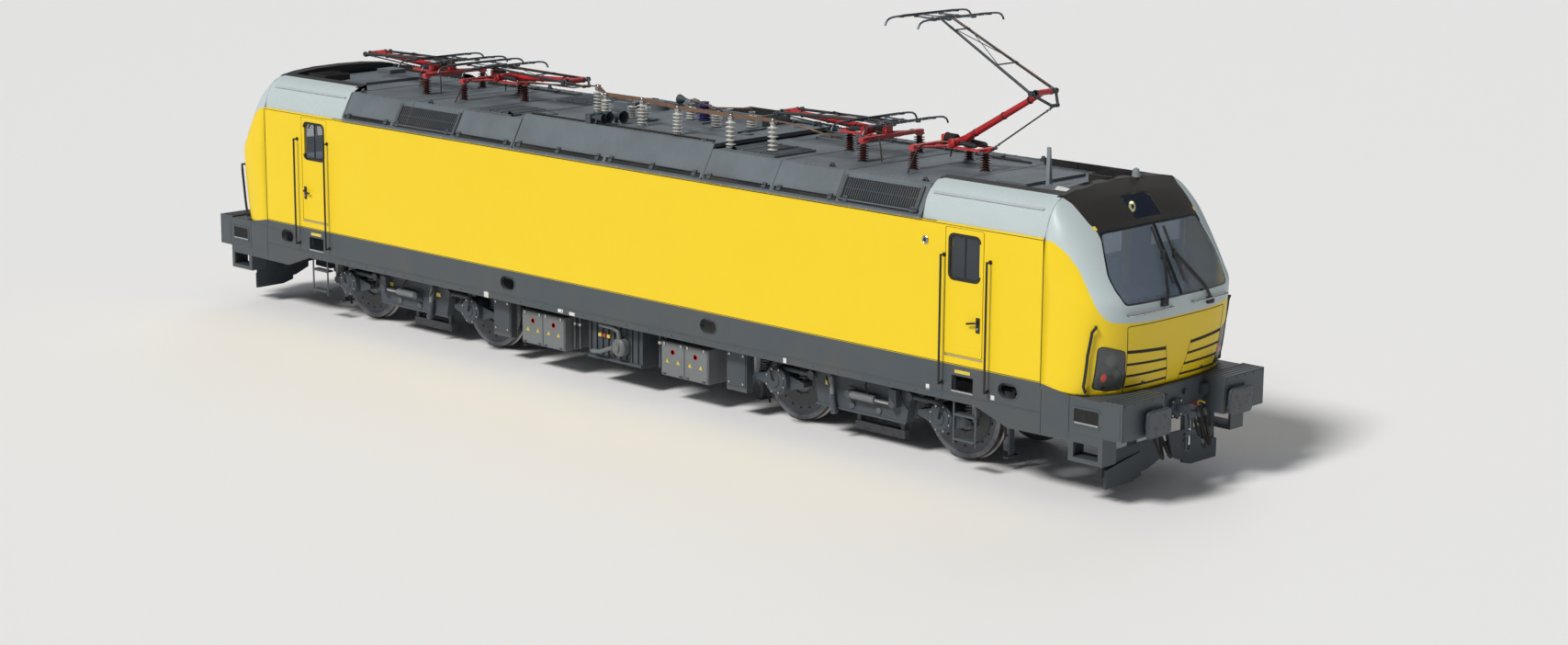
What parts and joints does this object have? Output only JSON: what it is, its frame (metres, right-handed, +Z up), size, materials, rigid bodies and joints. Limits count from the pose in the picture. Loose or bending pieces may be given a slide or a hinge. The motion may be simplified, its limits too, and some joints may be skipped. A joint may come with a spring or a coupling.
{
  "type": "electric locomotive",
  "caption": "Electric locomotive with a hollow body, a cab at each end, side doors, pivoting bogies, turning wheelsets, side buffers and folding pantographs on the roof.",
  "frame": {"origin": "middle of the locomotive's footprint at the wheels' flange tips, 28 mm below the top of the rail", "axes": "+X along the locomotive towards cab 1, the end with the raised pantograph; +Y to that cab's left; +Z up"},
  "size_m": [18.98, 3.19, 5.7797],
  "materials": {
    "frame_grey": "satin paint",
    "body_yellow": "gloss paint",
    "roof_grey": "matt paint",
    "panel_silver": "gloss paint",
    "window_glass": "tinted",
    "cab_lining": "matt",
    "desk_blue": "matt",
    "seat_dark": "woven",
    "lamp_black": "gloss",
    "steel_dark": "satin paint",
    "rail_black": "satin paint",
    "box_grey": "satin paint",
    "cabinet_grey": "matt paint",
    "insulator_white": "glazed",
    "busbar_brown": "oxidised",
    "switch_blue": "satin",
    "antenna_grey": "satin",
    "panto_red": "gloss paint",
    "insulator_brown": "glazed",
    "bogie_grey": "satin paint",
    "spring_steel": "painted",
    "motor_iron": "cast",
    "wheel_steel": "rolled",
    "arm_grey": "satin paint",
    "head_grey": "satin"
  },
  "bodies": {
    "carbody": {"underframe": "frame_grey", "side_walls": "body_yellow", "roof_hoods": "roof_grey", "cab_shells": "panel_silver", "cab_noses": "body_yellow", "windscreens": "window_glass", "cab_bulkheads": "cab_lining", "drivers_desks": "desk_blue", "driver_seats": "seat_dark", "headlights": "lamp_black", "buffers": "steel_dark", "screw_couplings": "steel_dark", "snow_ploughs": "frame_grey", "end_steps": "frame_grey", "door_ladders": "frame_grey", "grab_rails": "rail_black", "transformer_tank": "steel_dark", "underfloor_boxes": "box_grey", "converter_racks": "cabinet_grey", "roof_insulators": "insulator_white", "roof_busbars": "busbar_brown", "roof_switchgear": "switch_blue", "roof_antennas": "antenna_grey", "pantograph_frames": "panto_red", "pantograph_insulators": "insulator_brown"},
    "front_bogie": {"bogie_frame_front": "bogie_grey", "bogie_springs_front": "spring_steel", "axle_boxes_front": "bogie_grey", "traction_motors_front": "motor_iron"},
    "rear_bogie": {"bogie_frame_rear": "bogie_grey", "bogie_springs_rear": "spring_steel", "axle_boxes_rear": "bogie_grey", "traction_motors_rear": "motor_iron"},
    "wheelset_1": {"wheelset_1": "wheel_steel"},
    "wheelset_2": {"wheelset_2": "wheel_steel"},
    "wheelset_3": {"wheelset_3": "wheel_steel"},
    "wheelset_4": {"wheelset_4": "wheel_steel"},
    "cab_door_front_left": {"cab_door_front_left": "body_yellow"},
    "cab_door_front_right": {"cab_door_front_right": "body_yellow"},
    "cab_door_rear_left": {"cab_door_rear_left": "body_yellow"},
    "cab_door_rear_right": {"cab_door_rear_right": "body_yellow"},
    "lower_arm_1": {"lower_arm_1": "panto_red"},
    "thrust_rod_1": {"thrust_rod_1": "rail_black"},
    "upper_arm_1": {"upper_arm_1": "arm_grey"},
    "pan_head_1": {"pan_head_1": "head_grey"},
    "lower_arm_2": {"lower_arm_2": "panto_red"},
    "thrust_rod_2": {"thrust_rod_2": "rail_black"},
    "upper_arm_2": {"upper_arm_2": "arm_grey"},
    "pan_head_2": {"pan_head_2": "head_grey"},
    "lower_arm_3": {"lower_arm_3": "panto_red"},
    "thrust_rod_3": {"thrust_rod_3": "rail_black"},
    "upper_arm_3": {"upper_arm_3": "arm_grey"},
    "pan_head_3": {"pan_head_3": "head_grey"},
    "lower_arm_4": {"lower_arm_4": "panto_red"},
    "thrust_rod_4": {"thrust_rod_4": "rail_black"},
    "upper_arm_4": {"upper_arm_4": "arm_grey"},
    "pan_head_4": {"pan_head_4": "head_grey"}
  },
  "joints": [
    {"name": "front_bogie_yaw", "type": "hinge", "parent": "carbody", "child": "front_bogie", "pos_m": [4.75, 0, 0.9], "axis": [0, 0, 1], "range_deg": [-3, 3]},
    {"name": "rear_bogie_yaw", "type": "hinge", "parent": "carbody", "child": "rear_bogie", "pos_m": [-4.75, 0, 0.9], "axis": [0, 0, 1], "range_deg": [-3, 3]},
    {"name": "wheelset_1_spin", "type": "hinge", "parent": "rear_bogie", "child": "wheelset_1", "pos_m": [-6.25, 0, 0.653], "axis": [0, 1, 0], "continuous": true},
    {"name": "wheelset_2_spin", "type": "hinge", "parent": "rear_bogie", "child": "wheelset_2", "pos_m": [-3.25, 0, 0.653], "axis": [0, 1, 0], "continuous": true},
    {"name": "wheelset_3_spin", "type": "hinge", "parent": "front_bogie", "child": "wheelset_3", "pos_m": [3.25, 0, 0.653], "axis": [0, 1, 0], "continuous": true},
    {"name": "wheelset_4_spin", "type": "hinge", "parent": "front_bogie", "child": "wheelset_4", "pos_m": [6.25, 0, 0.653], "axis": [0, 1, 0], "continuous": true},
    {"name": "cab_door_front_left_hinge", "type": "hinge", "parent": "carbody", "child": "cab_door_front_left", "pos_m": [6.462, 1.424, 1.8], "axis": [0, 0, -1], "range_deg": [0, 90]},
    {"name": "cab_door_front_right_hinge", "type": "hinge", "parent": "carbody", "child": "cab_door_front_right", "pos_m": [6.462, -1.424, 1.8], "axis": [0, 0, 1], "range_deg": [0, 90]},
    {"name": "cab_door_rear_left_hinge", "type": "hinge", "parent": "carbody", "child": "cab_door_rear_left", "pos_m": [-6.462, 1.424, 1.8], "axis": [0, 0, 1], "range_deg": [0, 90]},
    {"name": "cab_door_rear_right_hinge", "type": "hinge", "parent": "carbody", "child": "cab_door_rear_right", "pos_m": [-6.462, -1.424, 1.8], "axis": [0, 0, -1], "range_deg": [0, 90]},
    {"name": "pantograph_1_raise", "type": "hinge", "parent": "carbody", "child": "lower_arm_1", "pos_m": [-5.41, 0, 4.09], "axis": [0, 1, 0], "range_deg": [0, 52]},
    {"name": "elbow_1", "type": "hinge", "parent": "lower_arm_1", "child": "upper_arm_1", "pos_m": [-7.00781, 0, 4.17374], "axis": [0, 1, 0], "range_deg": [-99.59, 0]},
    {"name": "head_pivot_1", "type": "hinge", "parent": "upper_arm_1", "child": "pan_head_1", "pos_m": [-5.10846, 0, 4.22347], "axis": [0, 1, 0], "range_deg": [0, 47.59]},
    {"name": "rod_pivot_1", "type": "hinge", "parent": "carbody", "child": "thrust_rod_1", "pos_m": [-5.93, 0, 4.03], "axis": [0, 1, 0], "range_deg": [0, 58.77]},
    {"name": "pantograph_2_raise", "type": "hinge", "parent": "carbody", "child": "lower_arm_2", "pos_m": [-3.84, 0, 4.09], "axis": [0, -1, 0], "range_deg": [0, 52]},
    {"name": "elbow_2", "type": "hinge", "parent": "lower_arm_2", "child": "upper_arm_2", "pos_m": [-2.24219, 0, 4.17374], "axis": [0, -1, 0], "range_deg": [-99.59, 0]},
    {"name": "head_pivot_2", "type": "hinge", "parent": "upper_arm_2", "child": "pan_head_2", "pos_m": [-4.14154, 0, 4.22347], "axis": [0, -1, 0], "range_deg": [0, 47.59]},
    {"name": "rod_pivot_2", "type": "hinge", "parent": "carbody", "child": "thrust_rod_2", "pos_m": [-3.32, 0, 4.03], "axis": [0, -1, 0], "range_deg": [0, 58.77]},
    {"name": "pantograph_3_raise", "type": "hinge", "parent": "carbody", "child": "lower_arm_3", "pos_m": [3.84, 0, 4.09], "axis": [0, 1, 0], "range_deg": [0, 52]},
    {"name": "elbow_3", "type": "hinge", "parent": "lower_arm_3", "child": "upper_arm_3", "pos_m": [2.24219, 0, 4.17374], "axis": [0, 1, 0], "range_deg": [-99.59, 0]},
    {"name": "head_pivot_3", "type": "hinge", "parent": "upper_arm_3", "child": "pan_head_3", "pos_m": [4.14154, 0, 4.22347], "axis": [0, 1, 0], "range_deg": [0, 47.59]},
    {"name": "rod_pivot_3", "type": "hinge", "parent": "carbody", "child": "thrust_rod_3", "pos_m": [3.32, 0, 4.03], "axis": [0, 1, 0], "range_deg": [0, 58.77]},
    {"name": "pantograph_4_raise", "type": "hinge", "parent": "carbody", "child": "lower_arm_4", "pos_m": [5.41, 0, 4.09], "axis": [0, -1, 0], "range_deg": [-27, 25]},
    {"name": "elbow_4", "type": "hinge", "parent": "lower_arm_4", "child": "upper_arm_4", "pos_m": [6.79564, 0, 4.89], "axis": [0, -1, 0], "range_deg": [-47.88, 51.71]},
    {"name": "head_pivot_4", "type": "hinge", "parent": "upper_arm_4", "child": "pan_head_4", "pos_m": [5.09092, 0, 5.72901], "axis": [0, -1, 0], "range_deg": [-24.71, 22.89]},
    {"name": "rod_pivot_4", "type": "hinge", "parent": "carbody", "child": "thrust_rod_4", "pos_m": [5.93, 0, 4.03], "axis": [0, -1, 0], "range_deg": [-30.52, 28.26]}
  ],
  "couplings": [
    {"joint": "elbow_1", "follows": "pantograph_1_raise", "ratio": -1.915},
    {"joint": "head_pivot_1", "follows": "pantograph_1_raise", "ratio": 0.915},
    {"joint": "rod_pivot_1", "follows": "pantograph_1_raise", "ratio": 1.13},
    {"joint": "elbow_2", "follows": "pantograph_2_raise", "ratio": -1.915},
    {"joint": "head_pivot_2", "follows": "pantograph_2_raise", "ratio": 0.915},
    {"joint": "rod_pivot_2", "follows": "pantograph_2_raise", "ratio": 1.13},
    {"joint": "elbow_3", "follows": "pantograph_3_raise", "ratio": -1.915},
    {"joint": "head_pivot_3", "follows": "pantograph_3_raise", "ratio": 0.915},
    {"joint": "rod_pivot_3", "follows": "pantograph_3_raise", "ratio": 1.13},
    {"joint": "elbow_4", "follows": "pantograph_4_raise", "ratio": -1.915},
    {"joint": "head_pivot_4", "follows": "pantograph_4_raise", "ratio": 0.915},
    {"joint": "rod_pivot_4", "follows": "pantograph_4_raise", "ratio": 1.13}
  ]
}
